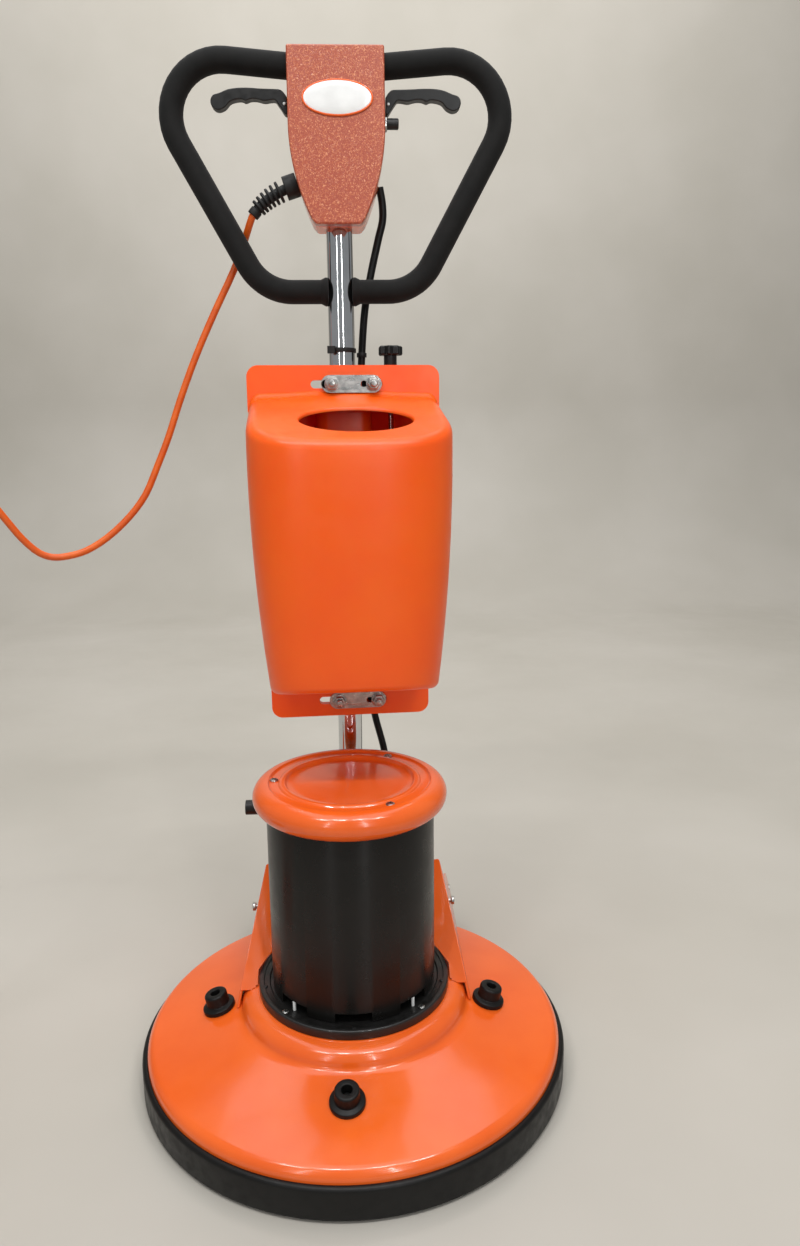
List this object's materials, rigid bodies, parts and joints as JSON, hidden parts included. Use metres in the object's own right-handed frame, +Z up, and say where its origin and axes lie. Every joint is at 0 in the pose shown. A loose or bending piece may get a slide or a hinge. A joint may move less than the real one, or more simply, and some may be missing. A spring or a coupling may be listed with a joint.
{
  "type": "rotary floor machine",
  "caption": "Upright rotary floor scrubber: round orange shroud with rubber bumper, black motor, chrome pole with solution tank, control box and handle loop, and an orange power cord.",
  "frame": {"origin": "on the floor, under the middle of the machine's own bounding box, which is 45.5 mm behind the motor axis", "axes": "+Z up, +Y from the motor towards the wheels and the operator, +X to the operator's left as they face the machine"},
  "size_m": [0.925, 0.581, 1.1386],
  "materials": {
    "orange_paint": "gloss",
    "orange_hammertone": "hammertone",
    "orange_plastic": "satin",
    "black_paint": "gloss",
    "black_plastic": "matte",
    "grey_plastic": "matte",
    "badge_plastic": "gloss",
    "black_rubber": "matte",
    "cable_black": "satin",
    "cord_orange": "satin",
    "tyre": "matte",
    "chrome": "polished",
    "zinc_steel": "zinc plated",
    "cast_iron": "rough",
    "pad_fibre": "matted fibre"
  },
  "bodies": {
    "base": {"shroud": "orange_paint", "bumper": "black_rubber", "peg_front": "black_rubber", "peg_right": "black_rubber", "peg_rear": "black_rubber", "peg_left": "black_rubber", "motor_flange": "black_paint", "motor_shell": "black_paint", "motor_cap": "orange_paint", "lower_bearing": "zinc_steel", "upper_bearing": "zinc_steel", "upper_end_shield": "cast_iron", "stator": "cast_iron", "ring_gear": "cast_iron", "yoke_left": "orange_paint", "yoke_right": "orange_paint", "tilt_axle": "zinc_steel", "wheel_axle": "zinc_steel", "motor_cable_tail": "cable_black", "power_cord": "cord_orange", "cord_coil": "cord_orange", "cord_plug": "cable_black"},
    "rotor": {"motor_shaft": "zinc_steel", "rotor_core": "cast_iron", "cooling_fan": "black_plastic"},
    "pad": {"planet_carrier": "zinc_steel", "pad_driver": "black_plastic", "floor_pad": "pad_fibre"},
    "planet_1": {"planet_gear_1": "zinc_steel"},
    "planet_2": {"planet_gear_2": "zinc_steel"},
    "planet_3": {"planet_gear_3": "zinc_steel"},
    "wheel_left": {"wheel_tyre_left": "tyre", "wheel_hub_left": "grey_plastic"},
    "wheel_right": {"wheel_tyre_right": "tyre", "wheel_hub_right": "grey_plastic"},
    "handle": {"pole": "chrome", "pole_fork": "black_paint", "handle_loop": "black_rubber", "box_cover": "orange_hammertone", "box_housing": "orange_hammertone", "badge": "badge_plastic", "main_switch": "black_plastic", "strain_relief": "black_plastic", "tank": "orange_plastic", "clamp_bar_upper": "zinc_steel", "clamp_bar_lower": "zinc_steel", "clamp_saddle_upper": "black_plastic", "clamp_saddle_lower": "black_plastic", "clamp_bolt_upper_1": "zinc_steel", "clamp_bolt_upper_2": "zinc_steel", "clamp_bolt_lower_1": "zinc_steel", "clamp_bolt_lower_2": "zinc_steel", "motor_cable": "cable_black"},
    "squeeze_left": {"lever_left": "black_plastic"},
    "squeeze_right": {"lever_right": "black_plastic"},
    "button": {"interlock_button": "black_plastic"},
    "lock_lever": {"tilt_lock_lever": "black_plastic"},
    "lock_bolt": {"lock_rod": "zinc_steel"},
    "valve_stem": {"valve_plug": "black_rubber"},
    "valve_handle": {"valve_knob": "black_plastic"}
  },
  "joints": [
    {"name": "rotor_spin", "type": "hinge", "parent": "base", "child": "rotor", "pos_m": [0, -0.0455, 0.2], "axis": [0, 0, 1], "continuous": true},
    {"name": "pad_spin", "type": "hinge", "parent": "base", "child": "pad", "pos_m": [0, -0.0455, 0.03], "axis": [0, 0, 1], "continuous": true},
    {"name": "planet_1_spin", "type": "hinge", "parent": "pad", "child": "planet_1", "pos_m": [0.036, -0.0455, 0.072], "axis": [0, 0, 1], "continuous": true},
    {"name": "planet_2_spin", "type": "hinge", "parent": "pad", "child": "planet_2", "pos_m": [-0.018, -0.01432, 0.072], "axis": [0, 0, 1], "continuous": true},
    {"name": "planet_3_spin", "type": "hinge", "parent": "pad", "child": "planet_3", "pos_m": [-0.018, -0.07668, 0.072], "axis": [0, 0, 1], "continuous": true},
    {"name": "wheel_left_spin", "type": "hinge", "parent": "base", "child": "wheel_left", "pos_m": [-0.1, 0.2405, 0.055], "axis": [1, 0, 0], "continuous": true},
    {"name": "wheel_right_spin", "type": "hinge", "parent": "base", "child": "wheel_right", "pos_m": [0.1, 0.2405, 0.055], "axis": [1, 0, 0], "continuous": true},
    {"name": "handle_tilt", "type": "hinge", "parent": "base", "child": "handle", "pos_m": [0, 0.0595, 0.135], "axis": [-1, 0, 0], "range_deg": [0, 70], "deforming": ["motor_cable_tail", "power_cord"]},
    {"name": "left_squeeze", "type": "hinge", "parent": "handle", "child": "squeeze_left", "pos_m": [-0.056, 0.0895, 1.086], "axis": [0, 1, 0], "range_deg": [0, 6], "stiffness_Nm_per_rad": 2, "springref_deg": -5.73},
    {"name": "right_squeeze", "type": "hinge", "parent": "handle", "child": "squeeze_right", "pos_m": [0.056, 0.0895, 1.086], "axis": [0, -1, 0], "range_deg": [0, 6], "stiffness_Nm_per_rad": 2, "springref_deg": -5.73},
    {"name": "button_press", "type": "slide", "parent": "handle", "child": "button", "axis": [-1, 0, 0], "range_m": [0, 0.006], "stiffness_N_per_m": 400, "springref_m": -0.002},
    {"name": "lock_lift", "type": "hinge", "parent": "handle", "child": "lock_lever", "pos_m": [0.006, 0.1095, 0.249], "axis": [0, 1, 0], "range_deg": [0, 20], "stiffness_Nm_per_rad": 3, "springref_deg": -5.73},
    {"name": "lock_slide", "type": "slide", "parent": "handle", "child": "lock_bolt", "axis": [0, 0, 1], "range_m": [0, 0.0098]},
    {"name": "valve_lift", "type": "slide", "parent": "handle", "child": "valve_stem", "axis": [0, 0, 1], "range_m": [0, 0.006]},
    {"name": "valve_turn", "type": "hinge", "parent": "valve_stem", "child": "valve_handle", "pos_m": [0.05649, 0.09917, 0.6], "axis": [0, 0, 1], "range_deg": [0, 540]}
  ],
  "couplings": [
    {"joint": "pad_spin", "follows": "rotor_spin", "ratio": 0.125},
    {"joint": "planet_1_spin", "follows": "rotor_spin", "ratio": -0.29167},
    {"joint": "planet_2_spin", "follows": "rotor_spin", "ratio": -0.29167},
    {"joint": "planet_3_spin", "follows": "rotor_spin", "ratio": -0.29167},
    {"joint": "lock_slide", "follows": "lock_lift", "m_per_rad": 0.028},
    {"joint": "valve_turn", "follows": "valve_lift", "rad_per_m": 1570.8}
  ]
}
